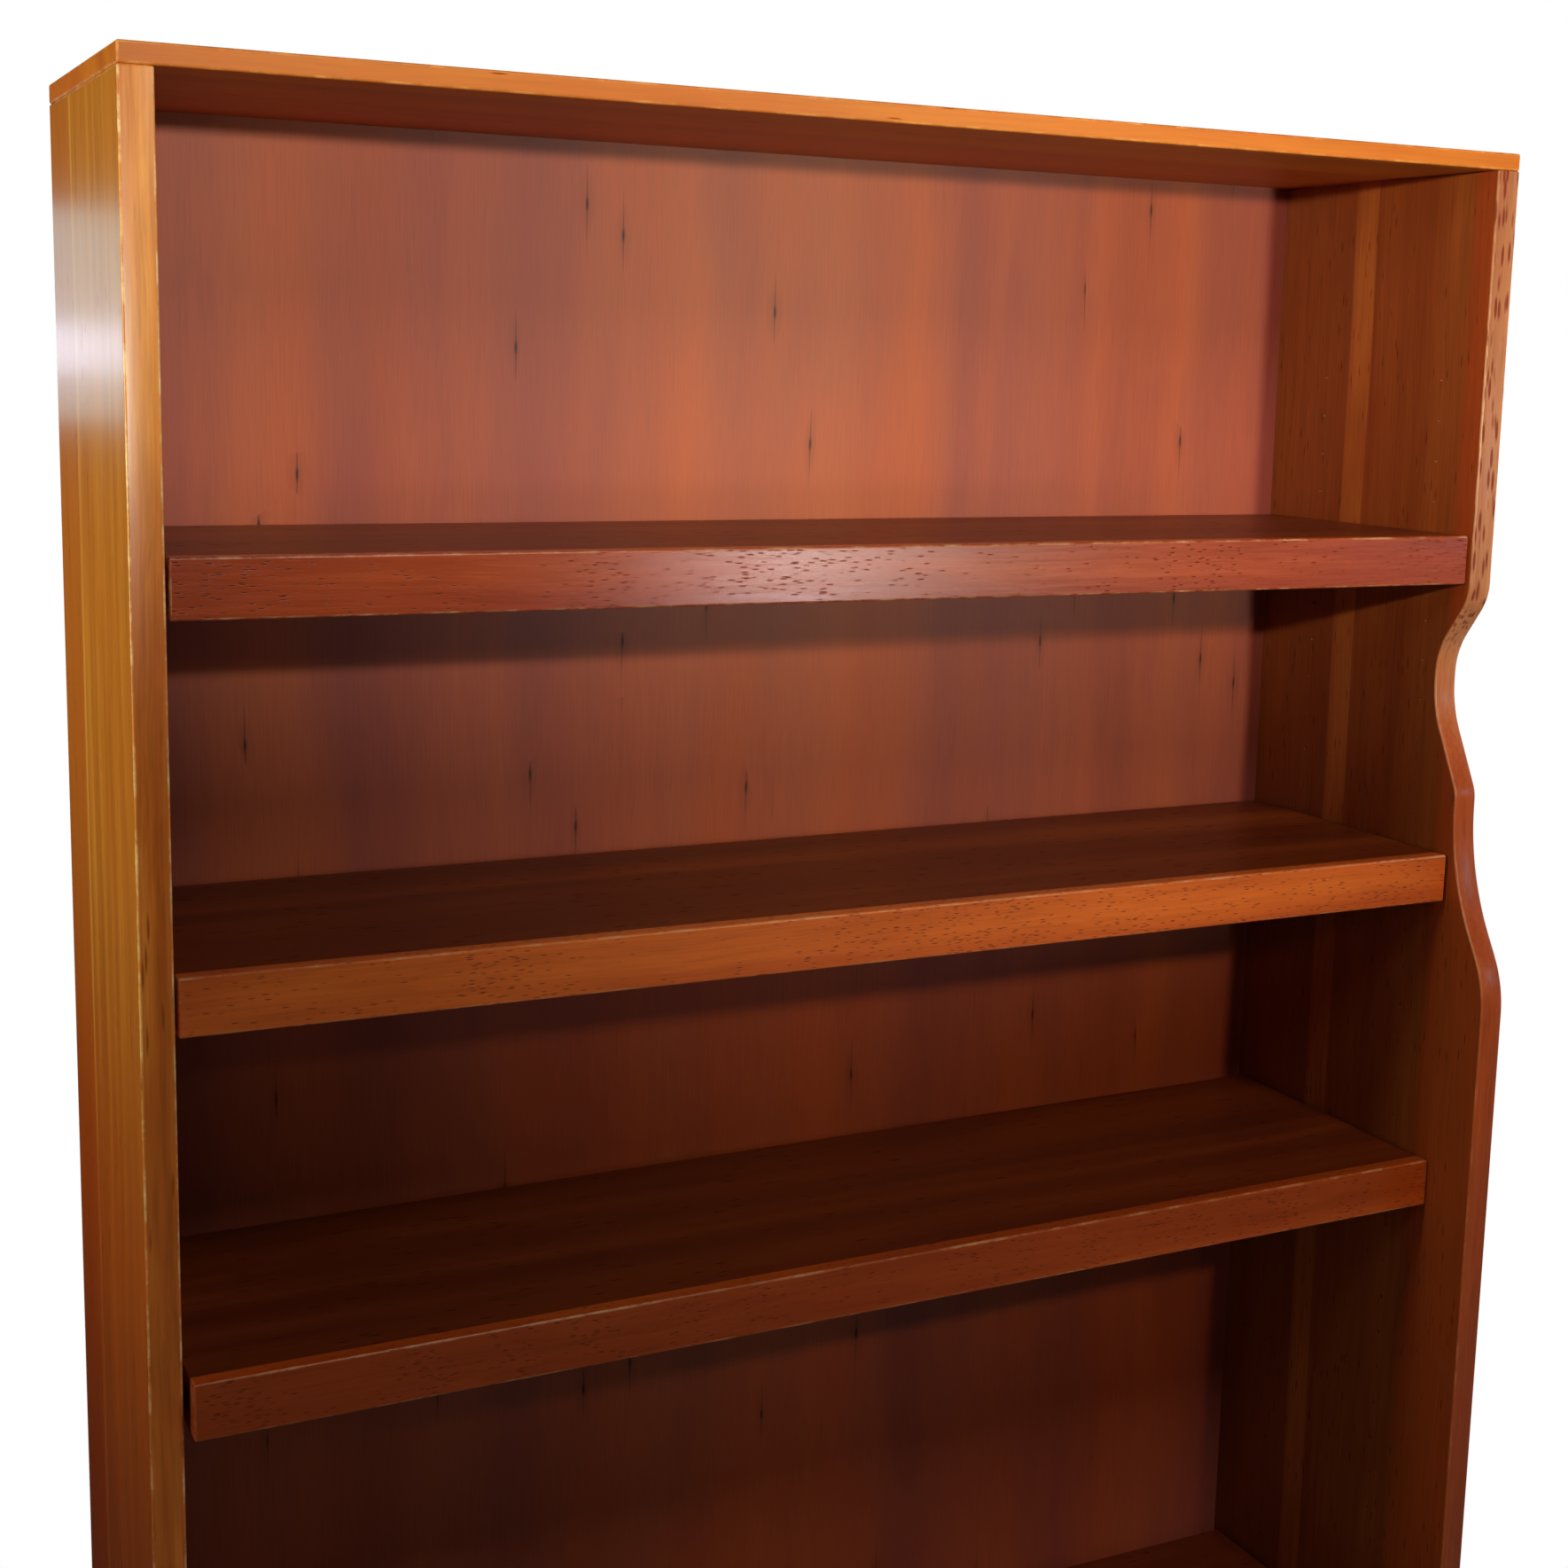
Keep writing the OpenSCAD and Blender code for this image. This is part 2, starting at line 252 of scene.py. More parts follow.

# %% [markdown]
# ## A pored wood
#
# All the seen woods but the veneer come from one recipe. Broad stripes wander in hue,
# fine fibre lines darken them, and pores are short dark dashes that also dent and dull
# the lacquer. Where the attribute "arris" marks a rounded edge, a patchy noise rubs the
# colour off. A painted shade can also darken and redden the wood lower down. Flat prints
# of wood could be wrapped round the boards instead, but they repeat, break off at every
# edge, and can't take that painted shade at the foot.

# %% Pores
def pore_mask(tree, along, place, share, size, squeeze, dash, slant, above):
    """Dashes in a share of the cells. Below the height `above`, most are filled."""
    space = grain_space(tree, along, squeeze, 0.004)
    leaning = put(tree, "ShaderNodeMapping", {"Vector": space,
                  "Rotation": (0.0, math.radians(slant), 0.0)}).outputs[0]
    cells = put(tree, "ShaderNodeTexVoronoi", {"Vector": leaning, "Scale": dash})
    near = steps(tree, cells.outputs["Distance"], (size, 1.0), (size + 0.18, 0.0))
    pores = product(tree, near, few(tree, cells, share))
    if above is None:
        return pores
    height = part_of(tree, place, "Z")
    return product(tree, pores, ramp(tree, height, above - 30 * MM, above, low=0.08))


# %% A pored wood
def pored_wood(name, along, dark, middle, pale, pore, pore_share=0.35, pore_size=0.16,
               pore_squeeze=0.93, dash=520.0, slant=0.0, pores_above=None, stripe=22.0,
               fibre=0.75, patch=None, patch_scale=6.0, bands=(), flecked=None, redder=None,
               worn=None, wear=0.85, gloss=0.34, shine=0.4, sheen=0.25):
    """A wood with stripes, fibres and pores along x or z.

    `bands` are (start, end, softness, colour, amount) by depth, `flecked` is (start, end,
    colour), and the painted shade below is (z where it starts, z where it is full, tint):
    it darkens and reddens the wood lower down.
    """
    material, tree, shader = finish_named(name)
    space = grain_space(tree, along)
    place = put(tree, "ShaderNodeTexCoord").outputs["Object"]
    stripes = noise(tree, space, stripe, 3.0, 0.5, 0.4)
    fibres = noise(tree, space, 420.0, 4.0, 0.65)
    wood = steps(tree, stripes, (0.30, dark), (0.50, middle), (0.70, pale))
    for start, end, soft, colour, amount in bands:
        share = product(tree, strip(tree, place, start, end, soft), amount)
        wood = blended(tree, share, wood, colour)
    # Painted shade: below a height the wood is multiplied by a darker, redder tint.
    if redder:
        from_z, to_z, tint = redder
        low_down = ramp(tree, part_of(tree, place, "Z"), from_z, to_z, form="SMOOTHSTEP")
        wood = blended(tree, low_down, wood, tint, "MULTIPLY")
    if flecked:
        start, end, colour = flecked
        wood = blended(tree, product(tree, flecks(tree, place, start, end), 0.8), wood, colour)
    if patch:
        cloud = noise(tree, grain_space(tree, along, 0.75, 0.02), patch_scale, 4.0, 0.6, 0.8)
        spots = steps(tree, cloud, (0.42, 0.0), (0.62, 1.0))
        wood = blended(tree, product(tree, spots, 0.55), wood, patch)
    shade = steps(tree, fibres, (0.25, 0.62), (0.55, 1.0), (0.8, 1.12))
    wood = blended(tree, fibre, wood, shade, "MULTIPLY")
    pores = pore_mask(tree, along, place, pore_share, pore_size, pore_squeeze, dash, slant,
                      pores_above)
    wood = blended(tree, product(tree, pores, 0.8), wood, pore)
    if worn:
        rub = put(tree, "ShaderNodeAttribute", attribute_name="arris").outputs["Fac"]
        patchy = steps(tree, noise(tree, place, 38.0, 4.0, 0.7), (0.46, 0.05), (0.66, wear))
        wood = blended(tree, product(tree, rub, patchy), wood, worn)
    dull = sum_of(tree, product(tree, fibres, 0.16), gloss - 0.08)
    roughness = sum_of(tree, dull, product(tree, pores, 0.25))
    relief = sum_of(tree, product(tree, fibres, 0.35), pores, "SUBTRACT")
    lacquered = sum_of(tree, 1.0, pores, "SUBTRACT")
    surface(tree, shader, wood, roughness, relief, 0.35, 0.4 * MM,
            {"Specular IOR Level": product(tree, lacquered, shine), "Coat Weight": sheen,
             "Coat Roughness": 0.22})
    return material


print("A pored wood has", pored_wood.__code__.co_argcount, "settings")

# %% [markdown]
# ## Stained mahogany
#
# The shelves and the top are a red-brown, open-pored wood. A shelf's broad faces are
# darker and duller than its edging, because things are pushed over them. The edging
# strips share one wood, made lighter or darker strip by strip, which is partly each
# strip's own tone and partly painted light and shade on its front. They could be four
# recipes, but one with a strength keeps them alike.

# %% Shelf, edging and top woods
plank_mahogany = pored_wood(
    "shelf mahogany", "x", linear(84, 30, 8), linear(105, 41, 12), linear(126, 55, 18),
    linear(40, 12, 6), pore_share=0.2, fibre=0.5, patch=linear(89, 30, 9), sheen=0.0,
    gloss=0.40, shine=0.35)


def toned(colour, strength):
    """A colour made lighter or darker, channel by channel."""
    return tuple(min(1.0, c * k) for c, k in zip(colour, strength)) + (1.0,)


def edging_wood(name, strength, gloss=0.30, shine=0.5):
    """The wood of one edging strip, in a tone partly its own and partly painted light and shade.
    """
    dark, middle, pale, pore, patch = (toned(linear(*colour), strength) for colour in (
        (139, 55, 21), (168, 72, 30), (196, 95, 41), (96, 36, 20), (145, 50, 21)))
    return pored_wood(name, "x", dark, middle, pale, pore, pore_share=0.5, fibre=0.6,
                      worn=linear(212, 160, 122), wear=0.6, patch=patch, sheen=0.1,
                      gloss=gloss, shine=shine, dash=640.0, pore_squeeze=0.86)


# The strengths give each edging a tone partly its own and partly painted: shade on the dark one,
# light on the pale and brown ones.
lip_dark = edging_wood("dark edging", (0.72, 0.52, 0.5), 0.27, 0.75)
lip_pale = edging_wood("pale edging", (1.5, 1.65, 1.3))
lip_brown = edging_wood("brown edging", (1.15, 1.15, 0.75))
top_mahogany = pored_wood(
    "top mahogany", "x", linear(172, 85, 21), linear(190, 100, 27), linear(201, 112, 32),
    linear(121, 52, 13), pore_share=0.1, gloss=0.5, sheen=0.0, worn=linear(217, 141, 68),
    patch=linear(184, 81, 25), shine=0.3, fibre=0.4)
print("Mahogany:", [wood.name for wood in (plank_mahogany, lip_dark, lip_pale, lip_brown,
                                           top_mahogany)])

# %% [markdown]
# ## The shaped side
#
# Its broad faces are browner than the shelves and have a strip of pale sapwood with
# short dark flecks, and a redder lipping at the front. Its sawn front edge cuts the
# pores aslant, so they show as coarse dark strokes, but below the first bend the edge
# is sanded smooth and filled. A painted shade makes the edge darker and redder lower
# down. The same recipe serves for both.

# %% Shaped side
sap_front = case_front + 136 * MM
sap_back = sap_front + 25 * MM
side_ochre = pored_wood(
    "shaped side broad faces", "z", linear(136, 64, 29), linear(154, 80, 37),
    linear(170, 93, 46), linear(82, 37, 18), pore_share=0.2, gloss=0.42, stripe=30.0,
    sheen=0.05, patch=linear(142, 63, 30), shine=0.25, bands=(
        (case_front - 100 * MM, case_front + 16 * MM, 10 * MM, linear(171, 72, 32), 0.8),
        (sap_front, sap_back, 1.5 * MM, linear(196, 115, 56), 0.85),
        (sap_back + 2 * MM, case_back, 8 * MM, linear(130, 70, 38), 0.5)),
    flecked=(sap_front, sap_back, linear(96, 44, 19)))
side_edge = pored_wood(
    "shaped side edge", "z", linear(160, 93, 64), linear(180, 113, 78), linear(197, 134, 99),
    linear(107, 31, 25), pore_share=0.85, pore_size=0.27, pore_squeeze=0.86, dash=250.0,
    slant=14.0, pores_above=case_high.z - 360 * MM, gloss=0.32, sheen=0.2,
    worn=linear(214, 151, 118), wear=0.3, patch=linear(162, 84, 58),
    # painted shade: the edge turns darker and redder lower down
    redder=(1.48, 1.33, (1.0, 0.48, 0.27, 1.0)))
print("Shaped side:", side_ochre.name, "/", side_edge.name)

# %% [markdown]
# ## The amber side
#
# The plain side is a lighter, straight-grained wood under gloss lacquer. The same
# recipe serves with finer stripes and few pores. A thin pale line of sapwood runs down
# its broad face, and behind it the wood is redder. Lower down, a painted shade makes
# the side and its edge darker and redder.

# %% Amber side
seam_front = case_front + 174 * MM
seam_back = seam_front + 5 * MM
amber_side = pored_wood(
    "amber side", "z", linear(195, 116, 46), linear(214, 131, 54), linear(228, 149, 68),
    linear(152, 77, 26), pore_share=0.1, gloss=0.3, stripe=60.0, sheen=0.3, fibre=0.55,
    worn=linear(251, 209, 150), patch=linear(202, 113, 43),
    # painted shade: the side turns darker and redder lower down
    redder=(1.34, 1.08, (1.0, 0.64, 0.4, 1.0)),
    bands=((seam_front, seam_back, 4 * MM, linear(243, 168, 90), 0.7),
           (seam_back + 3 * MM, case_back, 4 * MM, linear(200, 102, 39), 0.7)))
amber_edge = pored_wood(
    "amber side edge", "z", linear(198, 109, 40), linear(223, 137, 55), linear(240, 161, 77),
    linear(154, 77, 28), pore_share=0.25, gloss=0.36, stripe=110.0, sheen=0.15, dash=300.0,
    worn=linear(244, 206, 158), patch=linear(191, 98, 37), patch_scale=16.0,
    # painted shade: the edge turns darker and redder lower down
    redder=(1.62, 1.40, (1.0, 0.74, 0.5, 1.0)))
print("Amber side:", amber_side.name, "/", amber_edge.name)

# %% [markdown]
# ## The back veneer
#
# The back is one sheet of veneered ply. Its veneer runs upwards, so it has broad faint
# bands of hue, very fine straight fibres, and small black pitch marks with thin tails.
# A mark is measured out around the middle of a Voronoi cell, and few cells get one.

# %% Back veneer
MARK, TAIL, HALO = (1.6 * MM, 1.9 * MM), (0.7 * MM, 9 * MM), (8 * MM, 6 * MM)


def pitch_marks(tree, share):
    """Black marks with thin tails, and a faint halo round each, as two masks."""
    space = grain_space(tree, "z", 0.8, 0.004)
    cells = put(tree, "ShaderNodeTexVoronoi", {"Vector": space, "Scale": 36.0})
    off = put(tree, "ShaderNodeVectorMath", {0: space, 1: cells.outputs["Position"]},
              operation="SUBTRACT").outputs[0]
    chosen = few(tree, cells, share)
    masks = []
    for wide, tall in (MARK, TAIL, HALO):
        shrunk = put(tree, "ShaderNodeVectorMath", {0: off, 1: (1 / wide, 0.0, 1 / tall)},
                     operation="MULTIPLY").outputs[0]
        reach = put(tree, "ShaderNodeVectorMath", {0: shrunk}, operation="LENGTH")
        blot = ramp(tree, reach.outputs["Value"], 0.3, 1.0, 1.0, 0.0)
        masks.append(product(tree, blot, chosen))
    mark, tail, halo = masks
    return sum_of(tree, mark, product(tree, tail, 0.6), "MAXIMUM"), halo


def banded_veneer(name):
    """A salmon-brown veneer with broad bands, fine fibres and small dark marks."""
    material, tree, shader = finish_named(name)
    bands = noise(tree, grain_space(tree, "z", 1.0, 0.006), 8.0, 3.0, 0.5, 0.2)
    hue = noise(tree, grain_space(tree, "z", 0.9, 0.03), 9.0, 3.0, 0.5, 0.4)
    lines = noise(tree, grain_space(tree, "z", 1.0, 0.002), 900.0, 3.0, 0.6)
    ground = steps(tree, bands, (0.30, linear(142, 66, 56)), (0.44, linear(165, 78, 60)),
                   (0.56, linear(176, 86, 60)), (0.70, linear(188, 96, 64)))
    tint = steps(tree, hue, (0.36, linear(136, 64, 64)), (0.5, linear(167, 80, 58)),
                 (0.66, linear(188, 84, 44)))
    wood = blended(tree, 0.5, ground, tint)
    wood = blended(tree, 0.4, wood, steps(tree, lines, (0.3, 0.72), (0.6, 1.04)), "MULTIPLY")
    black, halo = pitch_marks(tree, 0.2)
    wood = blended(tree, product(tree, halo, 0.22), wood, linear(108, 51, 36))
    wood = blended(tree, product(tree, black, 0.85), wood, linear(36, 16, 12))
    surface(tree, shader, wood, sum_of(tree, product(tree, lines, 0.14), 0.40),
            sum_of(tree, lines, black, "SUBTRACT"), 0.2, 0.3 * MM,
            {"Specular IOR Level": 0.27})
    return material


back_veneer = banded_veneer("back veneer")
print("Back:", back_veneer.name)

# %% [markdown]
# ## Plain wood, pins and screws
#
# Rails, glue blocks and dowels are never seen from the front and stay unfinished. The
# pins are plated steel that has dulled, and the screws are zinc plated, with a fine
# turned texture on both.

# %% Plain wood and metal
def plain_wood(name, along):
    """Pale unfinished wood with soft rings and fuzzy fibres."""
    material, tree, shader = finish_named(name)
    space = grain_space(tree, along)
    rings = noise(tree, space, 46.0, 2.0, 0.5, 0.8)
    fibres = noise(tree, space, 500.0, 3.0, 0.6)
    ground = steps(tree, rings, (0.35, linear(190, 150, 100)), (0.6, linear(222, 190, 142)))
    wood = blended(tree, 0.5, ground, steps(tree, fibres, (0.3, 0.75), (0.6, 1.0)), "MULTIPLY")
    surface(tree, shader, wood, sum_of(tree, product(tree, fibres, 0.2), 0.6), fibres, 0.3,
            0.3 * MM)
    return material


def plated_steel(name, bright, dull):
    """Plated steel with a faint clouding and fine scratches."""
    material, tree, shader = finish_named(name)
    place = put(tree, "ShaderNodeTexCoord").outputs["Object"]
    cloud = noise(tree, place, 350.0, 4.0, 0.6)
    along_x = put(tree, "ShaderNodeMapping", {"Vector": place, "Scale": (0.1, 1.0, 1.0)})
    scratch = noise(tree, along_x.outputs[0], 2600.0, 2.0)
    surface(tree, shader, steps(tree, cloud, (0.35, dull), (0.65, bright)),
            sum_of(tree, product(tree, cloud, 0.25), 0.2), scratch, 0.15, 0.1 * MM,
            {"Metallic": 1.0})
    return material


rail_wood = plain_wood("rail wood", "x")
dowel_wood = plain_wood("dowel wood", "z")
pin_steel = plated_steel("pin steel", linear(214, 206, 190), linear(160, 150, 132))
screw_zinc = plated_steel("screw zinc", linear(206, 206, 200), linear(150, 150, 144))
print("Plain:", rail_wood.name, "/", dowel_wood.name, "/", pin_steel.name, "/", screw_zinc.name)

# %% [markdown]
# ## Reading places from the solids
#
# Nothing is placed by eye. A board's corners and the centres of pins and screws are
# read from the solids' own meshes. A solid's mesh is loose triangles, so a copy is
# merged first, and the solid itself is left alone.

# %% Corners and loose parts
SAME_POINT = 1e-6


def merged_copy(node):
    """A working copy of one solid's mesh, with its doubled points merged."""
    copy = bmesh.new()
    copy.from_mesh(frame["nodes"][node].data)
    bmesh.ops.remove_doubles(copy, verts=copy.verts, dist=SAME_POINT)
    return copy


def loose_parts(node):
    """The boxes (low, high) of the separate parts of one node."""
    copy = merged_copy(node)
    unseen, boxes = set(copy.verts), []
    while unseen:
        part = [unseen.pop()]
        for vert in part:
            for edge in vert.link_edges:
                other = edge.other_vert(vert)
                if other in unseen:
                    unseen.remove(other)
                    part.append(other)
        boxes.append(tuple(Vector(pick(v.co[k] for v in part) for k in range(3))
                           for pick in (min, max)))
    copy.free()
    return sorted(boxes, key=lambda box: tuple(round(v, 5) for v in box[0]))


def middle(box):
    """The centre of a box."""
    return (box[0] + box[1]) / 2


SHELVES = (1, 2, 3, 4)
screw_boxes = loose_parts("back_screws")
pins_of = {(i, side): loose_parts(f"shelf_{i}_{side}_pins")
           for i in SHELVES for side in ("left", "right")}
print("Screws:", len(screw_boxes), "Pins:", sum(len(boxes) for boxes in pins_of.values()))

# %% [markdown]
# ## Making a piece of the bookcase
#
# Each finished piece takes the place of its solid and rides on the same body. One
# function does that for all of them. Another marks the faces of the rounded arrises in
# an attribute, which the woods read to rub their colour.

# %% Piece
BODY_OF = {node: body for body, nodes in frame["record"]["behaviour"]["bodies"].items()
           for node in nodes}


def scene_object(name, data):
    """A new object in the scene."""
    made = bpy.data.objects.new(name, data)
    bpy.context.scene.collection.objects.link(made)
    return made


def form_object(name, form):
    """A working copy's mesh as an object of its own."""
    mesh = bpy.data.meshes.new(name)
    form.to_mesh(mesh)
    form.free()
    return scene_object(name, mesh)


def plain_mesh(draft, name):
    """The draft with its modifiers applied, as an object of its own. The draft is removed."""
    bpy.context.view_layer.update()
    seen = draft.evaluated_get(bpy.context.evaluated_depsgraph_get())
    mesh = bpy.data.meshes.new_from_object(seen)
    mesh.name = name
    done = scene_object(name, mesh)
    bpy.data.objects.remove(draft)
    return done


def cut_piece(draft, name, *cutters):
    """The draft without its cutters, as an object of its own. All drafts are removed."""
    for cutter in cutters:
        change = draft.modifiers.new("cut", "BOOLEAN")
        change.operation, change.solver, change.object = "DIFFERENCE", "EXACT", cutter
    piece = plain_mesh(draft, name)
    for cutter in cutters:
        bpy.data.objects.remove(cutter)
    return piece


def fit_piece(piece, nodes, material):
    """Gives a piece its finish and lets it stand for its nodes."""
    mesh = piece.data
    mesh.materials.clear()
    mesh.materials.append(material)
    for face in mesh.polygons:
        face.material_index = 0
        face.use_smooth = False
    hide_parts(*nodes)
    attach(piece, BODY_OF[nodes[0]])


def mark_arrises(piece, is_arris):
    """Writes 1 on the faces of the rounded arrises and 0 elsewhere."""
    marks = piece.data.attributes.new("arris", "FLOAT", "FACE")
    marks.data.foreach_set("value", [1.0 if is_arris(face.normal) else 0.0
                                     for face in piece.data.polygons])


print("Bodies:", len(set(BODY_OF.values())), "for", len(BODY_OF), "nodes")

# %% [markdown]
# ## Boards with soft arrises
#
# No joiner leaves a sharp edge on a shelf, because lacquer runs off it and it
# splinters. A board is the hull of its solid's points, which is its plain outer form
# whatever holes it has, with a bevel of a few faces along its edges. Where two boards
# are glued face to face, as an edging is on its shelf, the edges stay sharp. A Bevel
# modifier would be shorter, but it would round the glued edges too.

# %% Board
ARRIS_FACES = 3
STRAIGHT = 0.995


def board(node, radius, glued=()):
    """A board like its node, arrises rounded but for those of the faces towards `glued`."""
    copy = merged_copy(node)
    points = [v.co.copy() for v in copy.verts]
    copy.free()
    form = bmesh.new()
    for point in points:
        form.verts.new(point)
    hull = bmesh.ops.convex_hull(form, input=form.verts)
    spare = {v for key in ("geom_interior", "geom_unused") for v in hull[key]
             if isinstance(v, bmesh.types.BMVert)}
    bmesh.ops.delete(form, geom=list(spare), context="VERTS")
    bmesh.ops.dissolve_limit(form, angle_limit=math.radians(0.2), verts=form.verts,
                             edges=form.edges)
    bmesh.ops.recalc_face_normals(form, faces=form.faces)
    kept = {edge for face in form.faces for edge in face.edges
            if any(face.normal.dot(Vector(way)) > 0.99 for way in glued)}
    bmesh.ops.bevel(form, geom=[e for e in form.edges if e not in kept], offset=radius,
                    segments=ARRIS_FACES, profile=0.5, affect="EDGES", clamp_overlap=True)
    return form_object(node + "_form", form)


def off_axis(normal):
    """True for a face that lies aslant, as only a rounded arris does on a board."""
    return max(abs(v) for v in normal) < STRAIGHT


def off_axis_or_left(normal):
    """True for the arrises, and for the end that rubs along the plain side."""
    return off_axis(normal) or normal.x < -0.9


def plain_board(name, nodes, radius, material, glued=(), rubbed=off_axis, cutters=()):
    """A finished board in place of its node."""
    piece = cut_piece(board(nodes[0], radius, glued), name, *cutters)
    mark_arrises(piece, rubbed)
    fit_piece(piece, nodes, material)
    print(name, len(piece.data.polygons), "faces")


# %% [markdown]
# A shelf is a thick plank with a strip of edging glued along its front, and the fixed
# bottom shelf is made in the same way. The toe board under it and the rail at the rear
# are hardly rounded, since nobody handles them.

# %% Shelves and base
FRONT, REAR = (0, -1, 0), (0, 1, 0)
SHELF_ARRIS, BASE_LIP_ARRIS, BASE_ARRIS = 1.5 * MM, 1.2 * MM, 0.8 * MM
LIP_WOODS = {1: lip_dark, 2: lip_pale, 3: lip_brown, 4: lip_dark}
for i in SHELVES:
    plain_board(f"shelf_{i}_plank", [f"shelf_{i}_board"], SHELF_ARRIS, plank_mahogany, (FRONT,))
    plain_board(f"shelf_{i}_lip", [f"shelf_{i}_edging"], SHELF_ARRIS, LIP_WOODS[i], (REAR,),
                off_axis_or_left)
plain_board("base_shelf_lip", ["bottom_shelf_edging"], BASE_LIP_ARRIS, lip_brown, (REAR,))
plain_board("base_shelf_plank", ["bottom_shelf"], BASE_ARRIS, plank_mahogany, (FRONT,))
plain_board("toe_board", ["toe_kick"], BASE_ARRIS, plank_mahogany)
plain_board("rear_rail", ["rear_base_rail"], BASE_ARRIS, rail_wood)

# %% [markdown]
# ## Helpers for geometry trees
#
# Holes, screws and pins stand in rows, so Geometry Nodes make them by rule: a small form
# is built once and stands on each point of a draft, with no place typed by hand. The
# trees share a few steps, such as joining forms, moving one, and setting the material.

# %% Geometry trees
def node_group(name, inputs):
    """An empty geometry tree with named inputs, as (tree, its inputs)."""
    tree = bpy.data.node_groups.new(name, "GeometryNodeTree")
    tree.interface.new_socket("Geometry", in_out="INPUT", socket_type="NodeSocketGeometry")
    for label, kind in {**inputs, "Material": "Material"}.items():
        tree.interface.new_socket(label, in_out="INPUT", socket_type="NodeSocket" + kind)
    tree.interface.new_socket("Geometry", in_out="OUTPUT", socket_type="NodeSocketGeometry")
    return tree, put(tree, "NodeGroupInput").outputs


def joined(tree, *forms):
    """Several forms as one."""
    node = put(tree, "GeometryNodeJoinGeometry")
    for form in forms:
        tree.links.new(form, node.inputs[0])
    return node.outputs[0]


def moved(tree, form, shift=(0.0, 0.0, 0.0), turn=(0.0, 0.0, 0.0)):
    """A form turned and then shifted."""
    return put(tree, "GeometryNodeTransform", {"Geometry": form, "Translation": shift,
               "Rotation": turn}).outputs[0]


def raised(tree, form, height, share=0.5):
    """A form moved up z by a share of a height."""
    lift = put(tree, "ShaderNodeCombineXYZ", {"Z": product(tree, height, share)})
    return moved(tree, form, lift.outputs[0])


def on_points(tree, points, form):
    """The form on each of the points."""
    return put(tree, "GeometryNodeInstanceOnPoints", {"Points": points,
               "Instance": form}).outputs[0]


def close_tree(tree, given, form):
    """Makes the copies real, gives them their material and hands them out."""
    real = put(tree, "GeometryNodeRealizeInstances", {"Geometry": form})
    dressed = put(tree, "GeometryNodeSetMaterial", {"Geometry": real.outputs[0],
                  "Material": given["Material"]})
    put(tree, "NodeGroupOutput", {0: dressed.outputs[0]})


def grow(draft, tree, **values):
    """Puts a tree on a draft and sets its inputs, each by its name."""
    modifier = draft.modifiers.new(tree.name, "NODES")
    modifier.node_group = tree
    for item in tree.interface.items_tree:
        key = item.name.lower().replace(" ", "_")
        if item.item_type == "SOCKET" and item.in_out == "INPUT" and key in values:
            modifier[item.identifier] = values[key]
    return draft


def points_object(name, points, edges=()):
    """A draft whose mesh is only points, and maybe edges between them."""
    mesh = bpy.data.meshes.new(name)
    mesh.from_pydata([tuple(p) for p in points], list(edges), [])
    return scene_object(name, mesh)


LYING, FACING_BACK = (0.0, math.pi / 2, 0.0), (math.pi / 2, 0.0, 0.0)

# %% [markdown]
# ## Pin holes
#
# The sides have two columns of pin holes, row under row. A cutter for each by hand would
# be slow to change. Here a column is a line of points with a drill bit on each, one
# column stands at each pin of the highest shelf, and one cut makes them all.

# %% Drill for the pin holes
drill_tree, given = node_group("pin hole drill", {
    "Rows": "Int", "Pitch": "Float", "Radius": "Float", "Length": "Float"})
fall = put(drill_tree, "ShaderNodeCombineXYZ", {"Z": product(drill_tree, given["Pitch"], -1.0)})
rows = put(drill_tree, "GeometryNodeMeshLine", {"Count": given["Rows"],
           "Offset": fall.outputs[0]}, mode="OFFSET")
bit = put(drill_tree, "GeometryNodeMeshCylinder", {"Vertices": 24, "Radius": given["Radius"],
          "Depth": given["Length"]})
column = on_points(drill_tree, rows.outputs[0],
                   moved(drill_tree, bit.outputs["Mesh"], turn=LYING))
close_tree(drill_tree, given, on_points(drill_tree, given["Geometry"], column))
print("Drill inputs:", [item.name for item in drill_tree.interface.items_tree])

# %% Where the holes are
PITCH, ROWS_OVER_TOP_SHELF = 32 * MM, 5
LOWEST_OVER_BASE = 110 * MM
HOLE_RADIUS, HOLE_DEPTH = 1.65 * MM, 10 * MM
DRILL_OUTSIDE = 1 * MM
top_row_z = middle(pins_of[1, "left"][0]).z + ROWS_OVER_TOP_SHELF * PITCH
base_top_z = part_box("bottom_shelf")[1][2]
row_count = int((top_row_z - base_top_z - LOWEST_OVER_BASE) / PITCH + 1e-6) + 1
INNER_FACES = {"left": (-1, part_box("left_side_panel")[1][0]),
               "right": (1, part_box("right_side_panel")[0][0])}
print("Rows:", row_count, "highest at", round(top_row_z, 4))


def drilled(side):
    """The cutter for every pin hole of one side panel."""
    way, inner = INNER_FACES[side]
    centre = inner + way * (HOLE_DEPTH - DRILL_OUTSIDE) / 2
    points = [Vector((centre, middle(pin).y, top_row_z)) for pin in pins_of[1, side]]
    return grow(points_object(side + "_drill", points), drill_tree, rows=row_count,
                pitch=PITCH, radius=HOLE_RADIUS, length=HOLE_DEPTH + DRILL_OUTSIDE,
                material=side_ochre)


# %% [markdown]
# ## The side panels
#
# Both sides are an outline with a thickness. The plain one is a rectangle. The shaped
# one follows a rule on its front edge: each bend is an arc, a short straight and an arc
# back, first in to the waist, then out to a shoulder, and at last out to the deep lower
# part. One tree fills any such outline and gives it its thickness.

